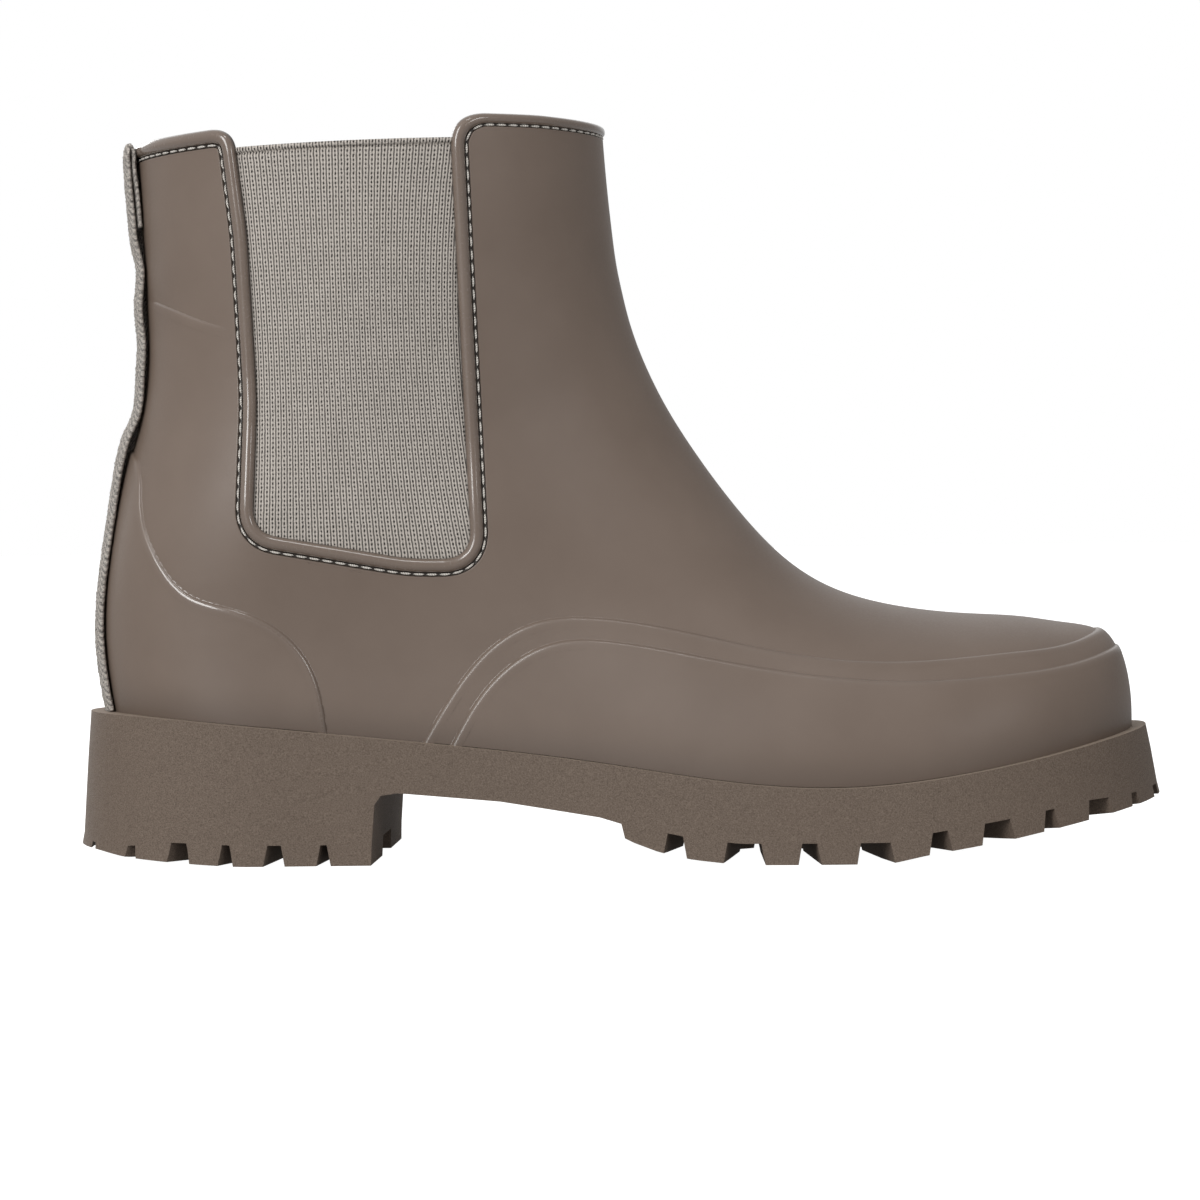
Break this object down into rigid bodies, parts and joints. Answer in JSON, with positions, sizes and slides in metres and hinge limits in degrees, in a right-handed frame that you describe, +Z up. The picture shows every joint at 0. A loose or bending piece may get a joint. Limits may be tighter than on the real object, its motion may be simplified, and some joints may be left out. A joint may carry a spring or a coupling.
{
  "type": "rubber boot",
  "caption": "Right ankle-high rubber boot with a moulded shell, elastic side gores, a woven heel tape, a mudguard band and a chunky lugged sole.",
  "frame": {"origin": "on the floor under the middle of the boot's box", "axes": "+X to the toe, +Z up, +Y to the inner (medial) side of this right boot"},
  "size_m": [0.2842, 0.1078, 0.19],
  "materials": {
    "outsole": "matte, fine grain",
    "upper": "smooth, glossy",
    "gore": "woven elastic",
    "tape": "woven tape",
    "insole": "knit over foam"
  },
  "bodies": {
    "root": {"outsole": "outsole", "upper": "upper", "gore_lateral": "gore", "gore_medial": "gore", "heel_tape": "tape", "insole": "insole"}
  },
  "joints": []
}
